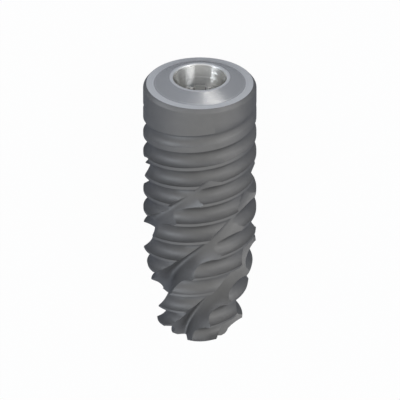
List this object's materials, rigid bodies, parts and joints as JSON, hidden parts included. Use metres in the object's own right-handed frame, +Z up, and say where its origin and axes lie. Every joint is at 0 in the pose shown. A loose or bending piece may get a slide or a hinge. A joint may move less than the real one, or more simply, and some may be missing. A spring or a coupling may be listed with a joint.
{
  "type": "dental implant",
  "caption": "One-piece tapered titanium dental implant with a double-start thread, helical cutting flutes and an indexed conical socket.",
  "frame": {"origin": "on the floor under the middle of the implant's length, where it lies on its collar and crests", "axes": "+Z up, +Y along the implant's axis from the socket's mouth to the apex"},
  "size_m": [0.004, 0.0102, 0.004],
  "materials": {
    "titanium": "commercially pure titanium: dull blasted outside, brighter machined rim, cone and socket"
  },
  "bodies": {
    "root": {"implant_body": "titanium"}
  },
  "joints": []
}
